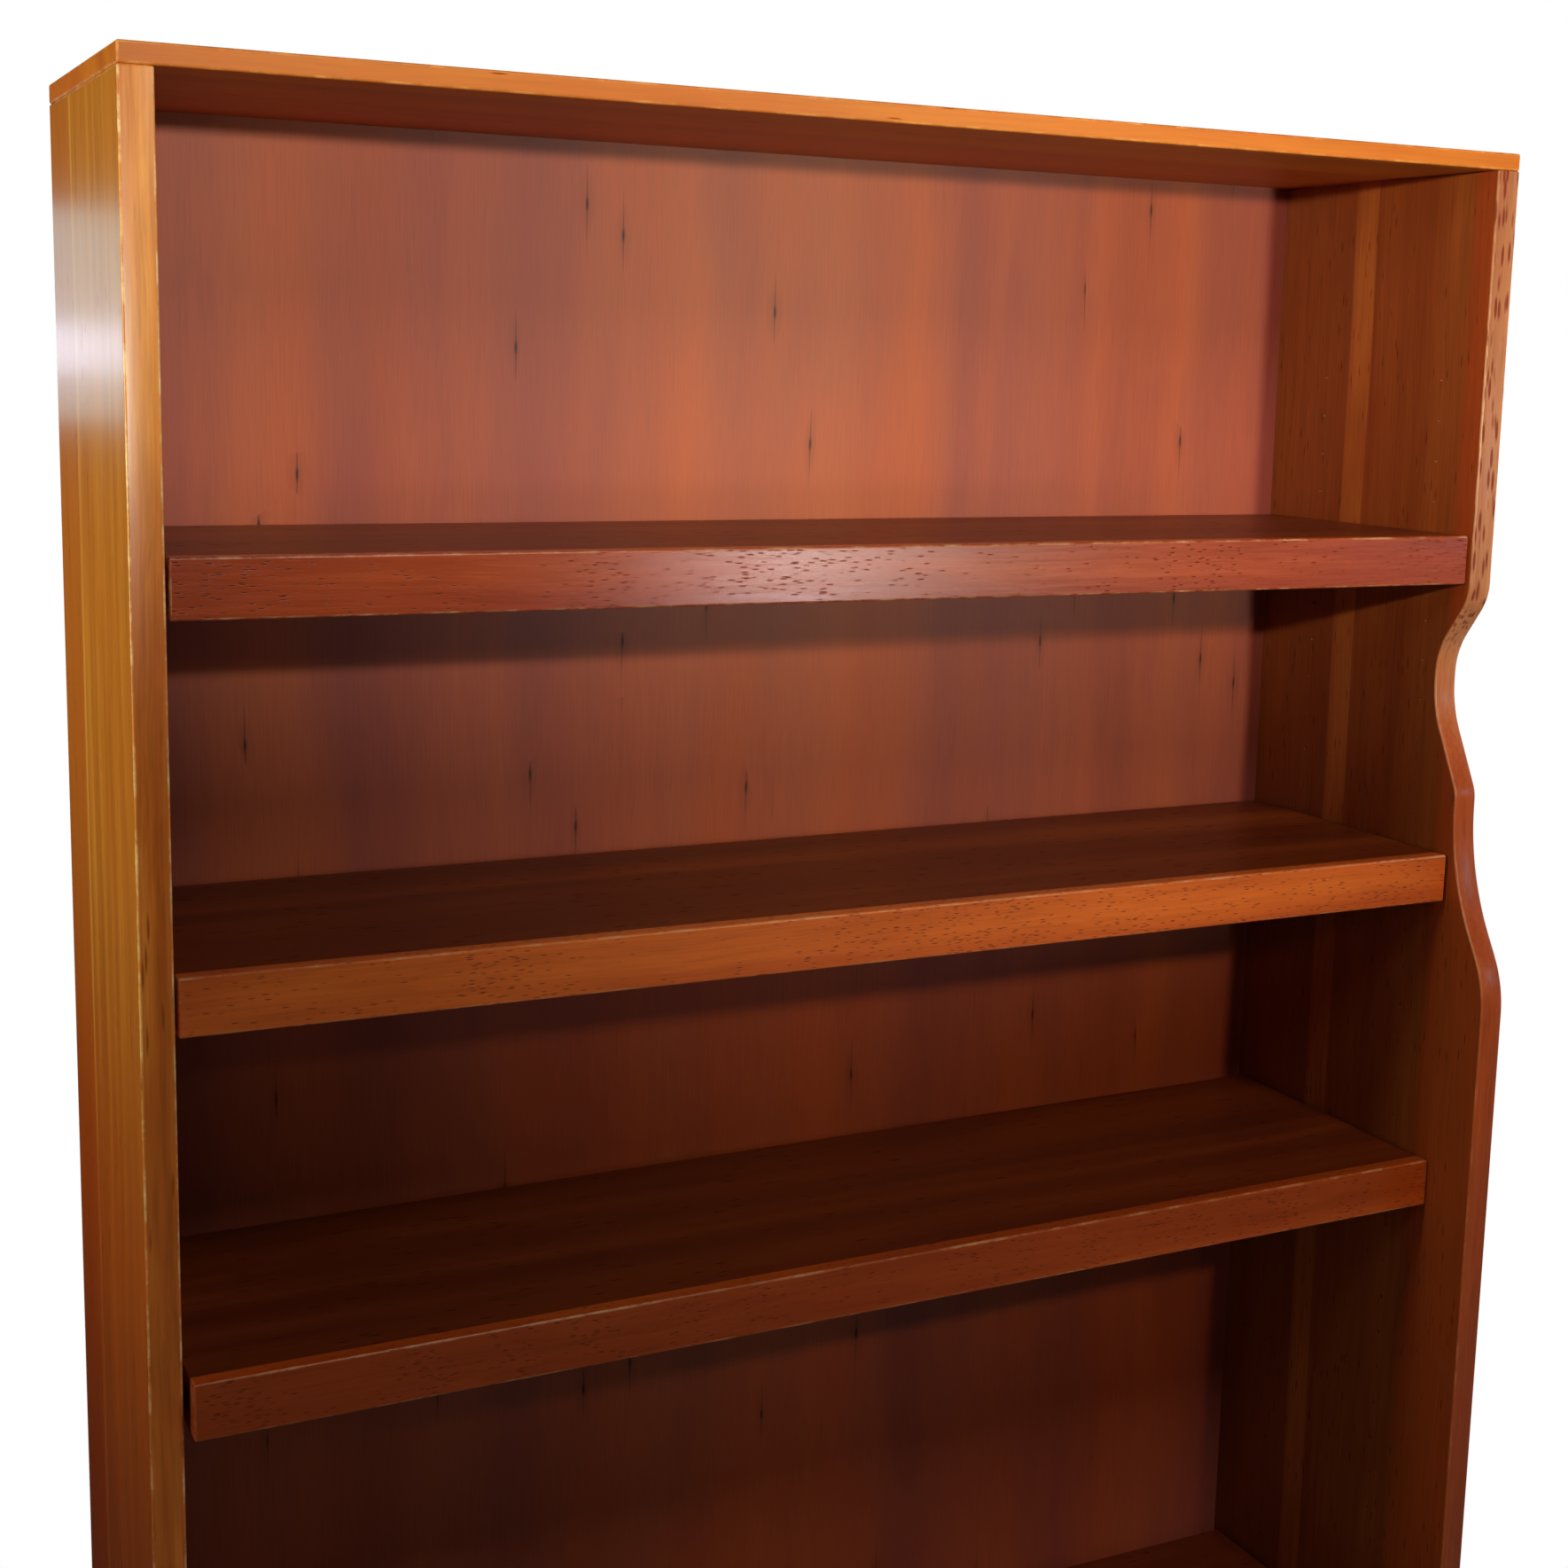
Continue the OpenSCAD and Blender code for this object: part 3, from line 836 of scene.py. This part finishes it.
# %% Shaped front edge
def bend(y0, y1, drop, first, last, slope, count=24):
    """Points (y, drop) of one bend from y0 to y1, and the drop at which it ends.

    `first` and `last` are the radii of its arcs, and `slope` is the straight's angle.
    """
    across, way = abs(y1 - y0), 1 if y1 > y0 else -1
    steep = math.radians(slope)
    length = ((first + last) * math.sin(steep)
              + (across - (first + last) * (1 - math.cos(steep))) / math.tan(steep))
    turns = [steep * k / count for k in range(count + 1)]
    points = [(y0 + way * first * (1 - math.cos(t)), drop + first * math.sin(t)) for t in turns]
    points += [(y1 - way * last * (1 - math.cos(t)), drop + length - last * math.sin(t))
               for t in reversed(turns)]
    return points, drop + length


waist_y = case_front + 32 * MM
swell_y = case_low.y
waist_in, waist_end = bend(case_front, waist_y, drop=330 * MM, first=40 * MM, last=56 * MM,
                           slope=35)
waist_out, shoulder = bend(waist_y, case_front, drop=waist_end + 6 * MM, first=88 * MM,
                           last=30 * MM, slope=26)
swell, swell_end = bend(case_front, swell_y, drop=shoulder + 5 * MM, first=205 * MM,
                        last=95 * MM, slope=29)
shaped_front = [(y, case_high.z - drop) for y, drop in waist_in + waist_out + swell]
print("Front edge: waist ends", round(waist_end, 4), "shoulder", round(shoulder, 4),
      "swell ends", round(swell_end, 4), "below the top")

# %% Outline to panel
panel_tree, given = node_group("panel from outline", {
    "Thickness": "Float", "Start": "Float"})
line = put(panel_tree, "GeometryNodeMeshToCurve", {"Mesh": given["Geometry"]})
sheet = put(panel_tree, "GeometryNodeFillCurve", {"Curve": line.outputs[0]}, mode="NGONS")
thick = put(panel_tree, "GeometryNodeExtrudeMesh", {"Mesh": sheet.outputs[0],
            "Offset Scale": given["Thickness"], "Individual": False}, mode="FACES")
under = put(panel_tree, "GeometryNodeFlipFaces", {"Mesh": sheet.outputs[0]})
whole = put(panel_tree, "GeometryNodeMergeByDistance", {
    "Geometry": joined(panel_tree, under.outputs[0], thick.outputs["Mesh"]),
    "Distance": SAME_POINT})
start = put(panel_tree, "ShaderNodeCombineXYZ", {"X": given["Start"]})
UPRIGHT_ALONG_Y = (math.pi / 2, 0.0, math.pi / 2)
close_tree(panel_tree, given,
           moved(panel_tree, whole.outputs[0], start.outputs[0], UPRIGHT_ALONG_Y))


def outline_object(name, points):
    """A draft whose mesh is the closed outline of (y, z) points."""
    count = len(points)
    return points_object(name, [(y, z, 0.0) for y, z in points],
                         [(k, (k + 1) % count) for k in range(count)])


print("Points of the shaped front:", len(shaped_front))

# %% [markdown]
# The back panel lies in a rabbet along both sides and the top. A cutter in the shape of
# the rabbet takes it out of each of them, and is thrown away after use.

# %% Rabbet and rounding
RABBET_PLAY, RABBET_PAST = 0.5 * MM, 1 * MM


def rabbet_cutter():
    """The back panel's block with its play, reaching out past the back and the floor."""
    low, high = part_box("back_panel")
    low = (low[0] - RABBET_PLAY, low[1], -RABBET_PAST)
    high = (high[0] + RABBET_PLAY, high[1] + RABBET_PAST, high[2] + RABBET_PLAY)
    form = bmesh.new()
    bmesh.ops.create_cube(form, size=1.0)
    for vert in form.verts:
        vert.co = [(low[k] + high[k]) / 2 + vert.co[k] * (high[k] - low[k]) for k in range(3)]
    return form_object("rabbet", form)


def soften(draft, radius, angle=30):
    """Rounds the edges of a draft that are sharper than the angle."""
    change = draft.modifiers.new("arrises", "BEVEL")
    change.limit_method, change.angle_limit = "ANGLE", math.radians(angle)
    change.width, change.segments, change.use_clamp_overlap = radius, ARRIS_FACES, True
    return draft


# %% [markdown]
# A side is rounded before it is cut, so the pin holes and the rabbet keep their crisp
# edges. Its broad faces stay flat shaded and its edges are smooth, because the shaped
# one is a row of small faces there.

# %% Both sides
EDGE_ZONE = case_front + 40 * MM


def side_arris(normal):
    """True for a face between a side's broad face and its edge."""
    return 0.05 < abs(normal.x) < STRAIGHT and abs(normal.z) < 0.6


def side_piece(name, node, side, points, radius, material, edge_material):
    """One side panel with rounded arrises, its rabbet, its pin holes and its front edge."""
    low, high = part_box(node)
    draft = grow(outline_object(node + "_outline", points), panel_tree,
                 thickness=high[0] - low[0], start=low[0], material=material)
    piece = cut_piece(soften(draft, radius), name, rabbet_cutter(), drilled(side))
    mark_arrises(piece, side_arris)
    fit_piece(piece, [node], material)
    piece.data.materials.append(edge_material)
    for face in piece.data.polygons:
        on_edge = abs(face.normal.x) < STRAIGHT and face.normal.y < 0.5
        face.use_smooth = on_edge
        face.material_index = int(on_edge and face.center.y < EDGE_ZONE)
    print(name, len(piece.data.polygons), "faces")


side_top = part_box("left_side_panel")[1][2]
square = [(case_front, 0.0), (case_back, 0.0), (case_back, side_top), (case_front, side_top)]
curved = [(swell_y, 0.0)] + square[1:] + shaped_front
side_piece("plain_side", "left_side_panel", "left", square, 1.5 * MM, amber_side, amber_edge)
side_piece("shaped_side", "right_side_panel", "right", curved, 1.4 * MM, side_ochre, side_edge)

# %% [markdown]
# ## The top and the back
#
# The top is a thin board over both sides, with the rabbet in its underside. The back
# sheet is held by countersunk screws. One tree makes the screws and also, a little
# larger and with hardly any slot, the sinks for them, so head and sink always meet.

# %% Countersunk screws
SLOT_LENGTH_TO_WIDTH, SLOT_DEPTH = 4.5, 2.4 * MM
screw_points = [Vector((middle(b).x, b[1].y, middle(b).z)) for b in screw_boxes]

screw_tree, given = node_group("countersunk screws", {
    "Head Radius": "Float", "Head Height": "Float", "Shank Radius": "Float",
    "Length": "Float", "Slot": "Float"})
head = put(screw_tree, "GeometryNodeMeshCone", {"Vertices": 24,
           "Radius Top": given["Shank Radius"], "Radius Bottom": given["Head Radius"],
           "Depth": given["Head Height"]})
shank = put(screw_tree, "GeometryNodeMeshCylinder", {"Vertices": 16,
            "Radius": given["Shank Radius"], "Depth": given["Length"]})
size = put(screw_tree, "ShaderNodeCombineXYZ", {
    "X": product(screw_tree, given["Slot"], SLOT_LENGTH_TO_WIDTH), "Y": given["Slot"],
    "Z": SLOT_DEPTH})
arm = put(screw_tree, "GeometryNodeMeshCube", {"Size": size.outputs[0]})
arms = [moved(screw_tree, arm.outputs["Mesh"], turn=(0.0, 0.0, turn))
        for turn in (0.0, math.pi / 2)]
crossed = put(screw_tree, "GeometryNodeMeshBoolean", {"Mesh 1": head.outputs["Mesh"],
              "Mesh 2": joined(screw_tree, *arms)}, operation="DIFFERENCE", solver="EXACT")
body = joined(screw_tree, crossed.outputs["Mesh"],
              raised(screw_tree, shank.outputs["Mesh"], given["Length"]))
close_tree(screw_tree, given,
           on_points(screw_tree, given["Geometry"], moved(screw_tree, body, turn=FACING_BACK)))
print("Screws:", len(screw_points))

# %% Top, back and screws
TOP_ARRIS, SHEET_ARRIS = 1.6 * MM, 0.5 * MM
plain_board("case_top", ["top_panel"], TOP_ARRIS, top_mahogany, cutters=[rabbet_cutter()])
sinks = grow(points_object("sinks", screw_points), screw_tree, head_radius=3.5 * MM,
             head_height=2.0 * MM, shank_radius=1.6 * MM, length=12 * MM, slot=0.01 * MM,
             material=back_veneer)
plain_board("case_back_sheet", ["back_panel"], SHEET_ARRIS, back_veneer, cutters=[sinks])
screws = grow(points_object("screws", screw_points), screw_tree, head_radius=3.3 * MM,
              head_height=1.8 * MM, shank_radius=1.5 * MM, length=15.5 * MM, slot=0.8 * MM,
              material=screw_zinc)
screws = plain_mesh(screws, "panel_screws")
fit_piece(screws, ["back_screws"], screw_zinc)
print("Screws:", len(screws.data.polygons), "faces")

# %% [markdown]
# ## Shelf pins
#
# A pin is a short turned rod with its ends eased so that it starts in its hole. A tree
# stands a rod on each of the two places at one end of a shelf. The rod is an open tube
# and each end is a cone without its broad disc, so the merged pin is one closed skin.

# %% Pins
PIN_SIDES, PIN_EASE = 32, 0.6 * MM
pin_tree, given = node_group("shelf pins", {
    "Radius": "Float", "Length": "Float", "Ease": "Float"})
slim = sum_of(pin_tree, given["Radius"], given["Ease"], "SUBTRACT")
straight = sum_of(pin_tree, given["Length"], product(pin_tree, given["Ease"], 2.0), "SUBTRACT")
rod = put(pin_tree, "GeometryNodeMeshCylinder", {"Vertices": PIN_SIDES,
          "Radius": given["Radius"], "Depth": straight}, fill_type="NONE")
tip = put(pin_tree, "GeometryNodeMeshCone", {"Vertices": PIN_SIDES, "Radius Top": slim,
          "Radius Bottom": given["Radius"], "Depth": given["Ease"]})
open_tip = put(pin_tree, "GeometryNodeDeleteGeometry", {"Geometry": tip.outputs["Mesh"],
               "Selection": tip.outputs["Bottom"]}, domain="FACE", mode="ONLY_FACE")
upper_tip = raised(pin_tree, open_tip.outputs[0], straight)
tips = [moved(pin_tree, upper_tip, turn=(turn, 0.0, 0.0)) for turn in (0.0, math.pi)]
closed = put(pin_tree, "GeometryNodeMergeByDistance", {
    "Geometry": joined(pin_tree, rod.outputs["Mesh"], *tips), "Distance": SAME_POINT})
close_tree(pin_tree, given, on_points(pin_tree, given["Geometry"],
           moved(pin_tree, closed.outputs[0], turn=LYING)))

for (i, side), boxes in pins_of.items():
    wide = boxes[0][1] - boxes[0][0]
    draft = grow(points_object("pins", [middle(box) for box in boxes]), pin_tree,
                 radius=wide.z / 2, length=wide.x, ease=PIN_EASE, material=pin_steel)
    fit_piece(plain_mesh(draft, f"shelf_{i}_{side}_pegs"), [f"shelf_{i}_{side}_pins"], pin_steel)
print("Pins:", sum(len(boxes) for boxes in pins_of.values()))

# %% [markdown]
# ## Parts that keep their solid
#
# Glue blocks and dowels are square or round stock that nobody sees, so their solids
# stay and only get their wood.

# %% Hidden parts
HIDDEN_WOODS = {"glue_blocks": rail_wood, "top_dowels": dowel_wood,
                "bottom_shelf_dowels": dowel_wood, "toe_kick_dowels": dowel_wood,
                "base_rail_dowels": dowel_wood}
for node, wood in HIDDEN_WOODS.items():
    mesh = frame["nodes"][node].data
    if len(mesh.materials) == 0:
        mesh.materials.append(wood)
    for k in range(len(mesh.materials)):
        mesh.materials[k] = wood
print("Solids that stay:", list(HIDDEN_WOODS))

# %% [markdown]
# ## Floor and surroundings
#
# The bookcase stands on a plain pale floor that holds its shadow and fades to white
# further out. The world is white where it is seen, but only a dim warm glow where it
# would light the wood, as a white light from all round would wash the shadows out. A
# Light Path node tells the two apart.

# %% Floor and world
FLOOR_REACH, FADE_START, FADE_END = 30.0, 0.7, 1.4


def sheet_mesh(name, low, high, material):
    """A flat sheet between two opposite corners."""
    mesh = bpy.data.meshes.new(name)
    mesh.from_pydata([low, (high[0], low[1], low[2]), high, (low[0], high[1], high[2])], [],
                     [(0, 1, 2, 3)])
    mesh.materials.append(material)
    return mesh


def sees(tree):
    """1 for what the camera, a reflection or glass sees, and 0 for light that bounces."""
    rays = put(tree, "ShaderNodeLightPath").outputs
    return sum_of(tree, sum_of(tree, rays["Is Camera Ray"], rays["Is Glossy Ray"], "MAXIMUM"),
                  rays["Is Transmission Ray"], "MAXIMUM")


def floor_material():
    """A pale floor that holds shadows near the bookcase and fades to white further out."""
    material, tree, shader = finish_named("studio floor")
    place = put(tree, "ShaderNodeTexCoord").outputs["Object"]
    grain = noise(tree, place, 30.0, 3.0)
    pale = steps(tree, grain, (0.3, linear(226, 226, 224)), (0.7, linear(232, 232, 230)))
    feed(tree, shader, {"Base Color": pale, "Roughness": 0.8, "Specular IOR Level": 0.2})
    reach = put(tree, "ShaderNodeVectorMath", {0: place}, operation="LENGTH").outputs["Value"]
    far = ramp(tree, reach, FADE_START, FADE_END, low=0.6, form="SMOOTHSTEP")
    white = put(tree, "ShaderNodeEmission", {"Color": WHITE, "Strength": 1.0})
    seen = put(tree, "ShaderNodeMixShader", {0: product(tree, far, sees(tree)),
               1: shader.outputs[0], 2: white.outputs[0]})
    end = next(node for node in tree.nodes if node.type == "OUTPUT_MATERIAL")
    tree.links.new(seen.outputs[0], end.inputs["Surface"])
    return material


floor = scene_object("studio_floor", sheet_mesh(
    "floor", (-FLOOR_REACH, -FLOOR_REACH, 0), (FLOOR_REACH, FLOOR_REACH, 0), floor_material()))
floor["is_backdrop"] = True

world = bpy.data.worlds.new("studio")
bpy.context.scene.world = world
world.use_nodes = True
tree = world.node_tree
tree.nodes.clear()
dim = put(tree, "ShaderNodeBackground", {"Color": (1.0, 0.84, 0.1, 1.0), "Strength": 0.021})
white = put(tree, "ShaderNodeBackground", {"Color": WHITE, "Strength": 1.0})
sky = put(tree, "ShaderNodeMixShader", {0: sees(tree), 1: dim.outputs[0], 2: white.outputs[0]})
put(tree, "ShaderNodeOutputWorld", {"Surface": sky.outputs[0]})
print("Floor fades to white from", FADE_START, "m to", FADE_END, "m")

# %% [markdown]
# Lacquer mirrors the white surroundings and would turn grey. In a studio, dark flags
# stand where the lacquer looks. Here they are sheets that only reflections see, so they
# throw no shadow and stay in place for every view.

# %% Flags
def flag(name, low, high):
    """A dark screen that only reflections see."""
    material, tree, shader = finish_named(name)
    feed(tree, shader, {"Base Color": linear(40, 40, 40), "Roughness": 1.0})
    screen = scene_object(name, sheet_mesh(name, low, high, material))
    screen.visible_camera = screen.visible_diffuse = screen.visible_shadow = False
    screen.visible_transmission = False
    screen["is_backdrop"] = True


NEAR_Y, FAR_Y, CEILING = -1.72, 1.1, 3.4
flag("front_flag", (-4, NEAR_Y, 0), (4, NEAR_Y, CEILING))
flag("floor_flag", (-6, NEAR_Y, 2 * MM), (4, FAR_Y, 2 * MM))
flag("ceiling_flag", (-6, NEAR_Y, CEILING), (4, FAR_Y, CEILING))
flag("rear_flag", (-6, FAR_Y, 0), (4, FAR_Y, 4))
print("Flags stand at", NEAR_Y, "m and", FAR_Y, "m, and one lies at", CEILING, "m")

# %% [markdown]
# ## Lamps
#
# One broad lamp would blur the crisp shadow that each shelf throws, so small spots share
# the work, most of them aimed at the upper half, and it grows darker lower down. Four in
# front of the right side throw the shadows. Three beside the viewer open the left half
# and the far end, a weak reddish one stands at the left, and two light the plain side.
# Soft panels do the rest: one overhead opens the front edges, one at the right lights the
# shaped edge, and two behind the left give the plain side its sheen. The last two serve
# the views from behind and from the right.

# %% Lamps
def aimed(name, kind, place, target, power, colour):
    """A lamp of that kind at a place, turned to a target."""
    light = bpy.data.lights.new(name, kind)
    light.energy, light.color = power, colour
    holder = scene_object(name, light)
    holder.location = place
    holder.rotation_euler = (Vector(target) - Vector(place)).to_track_quat("-Z", "Y").to_euler()
    return light


def spot(name, place, target, power, cone, softness, colour):
    """A spot lamp whose edge fades all the way."""
    light = aimed(name, "SPOT", place, target, power, colour)
    light.spot_size, light.spot_blend = math.radians(cone), 1.0
    light.shadow_soft_size = softness


def panel(name, place, target, power, width, height, colour=(1.0, 0.98, 0.95), shine=1.0):
    """A rectangular soft lamp. Its shine is how much of it a reflection shows."""
    light = aimed(name, "AREA", place, target, power, colour)
    light.shape, light.size, light.size_y = "RECTANGLE", width, height
    light.specular_factor = shine


LEFT_X, RIGHT_X = case_low.x, case_high.x
RIGHT_STAND, VIEWER_STAND = (0.59, -1.60, 1.87), (-0.70, -1.50, 1.88)
SIDE_STAND = (-2.10, -0.06, 1.75)
spot("main lamp", (0.60, -1.60, 1.62), (0.45, 0.1, 2.0), 50.0, 62, 0.035, (0.72, 1.0, 0.85))
spot("high lamp", RIGHT_STAND, (0.40, 0.1, 1.66), 14.2, 64, 0.035, (1.0, 0.88, 0.3))
spot("down lamp", RIGHT_STAND, (0.48, 0.1, 1.18), 14.0, 50, 0.035, (1.0, 0.52, 0.12))
spot("low lamp", (0.62, -1.60, 1.38), (0.1, -0.1, 1.42), 9.5, 34, 0.05, (1.0, 0.76, 0.76))
spot("viewer lamp", VIEWER_STAND, (-0.02, 0.1, 1.98), 39.4, 58, 0.025, (0.86, 1.0, 0.85))
spot("near lamp", VIEWER_STAND, (-0.25, 0.1, 1.78), 34.0, 34, 0.025, (0.94, 0.92, 0.84))
spot("far lamp", VIEWER_STAND, (0.5, 0.05, 1.78), 54.0, 28, 0.025, (1.0, 0.76, 0.4))
spot("left lamp", (-1.70, -1.65, 1.90), (0.3, 0.0, 1.86), 7.6, 46, 0.07, (1.0, 0.2, 0.1))
spot("side lamp", SIDE_STAND, (LEFT_X, 0.0, 1.70), 96.0, 58, 0.25, (0.92, 1.0, 0.5))
spot("foot lamp", SIDE_STAND, (LEFT_X, 0.0, 1.10), 14.0, 60, 0.25, (1.0, 0.25, 0.04))
panel("overhead lamp", (0.30, -1.50, 2.70), (0.25, -0.1, 1.1), 13.4, 0.5, 0.5,
      (1.0, 0.99, 0.83), shine=0.3)
panel("edge lamp", (1.85, -1.55, 1.64), (RIGHT_X, case_front, 1.6), 1.3, 0.3, 0.3,
      (0.3, 0.8, 1.0))
panel("side glow", (-0.72, 1.0, 1.655), (LEFT_X, 0.0, 1.64), 0.092, 0.3, 0.05,
      (0.69, 0.75, 1.0))
panel("side sheen", (-0.72, 1.01, 1.69), (LEFT_X, 0.0, 1.64), 0.21, 0.3, 0.22,
      (0.54, 0.93, 1.0))
panel("back lamp", (0.4, 3.0, 2.0), (0.0, case_back, 1.0), 60.0, 1.6, 1.2)
panel("right lamp", (3.0, 0.9, 1.8), (RIGHT_X, 0.0, 1.0), 50.0, 1.2, 1.2)

# %% [markdown]
# ## Camera
#
# The view is from a standing person's eye, a good metre in front of the left side and
# turned to the right. A little lens shift sets the frame without tilting the verticals.

# %% Camera
view = bpy.data.cameras.new("view")
view.lens, view.sensor_width, view.sensor_fit = 51.62, 36.0, "HORIZONTAL"
view.shift_x, view.shift_y = -0.0179, -0.0405
view.clip_start = 0.05
eye = scene_object("eye", view)
eye.location = (case_low.x - 0.2263, case_front - 1.3488, case_high.z - 0.1711)
eye.rotation_euler = [math.radians(a) for a in (80.964, -1.337, -26.348)]
bpy.context.scene.camera = eye
bpy.context.scene.view_settings.view_transform = "Standard"
print("Eye at", [round(v, 3) for v in eye.location])

# %% [markdown]
# ## Closing
#
# Both boxes, the solids' and the dressed bookcase's, are printed. The dressed bookcase
# must stay inside the solids' box.

# %% Sizes and finish
seen_box = [[float(v) for v in corner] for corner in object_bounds()]
print("Solids", cad_box, "dressed", seen_box)
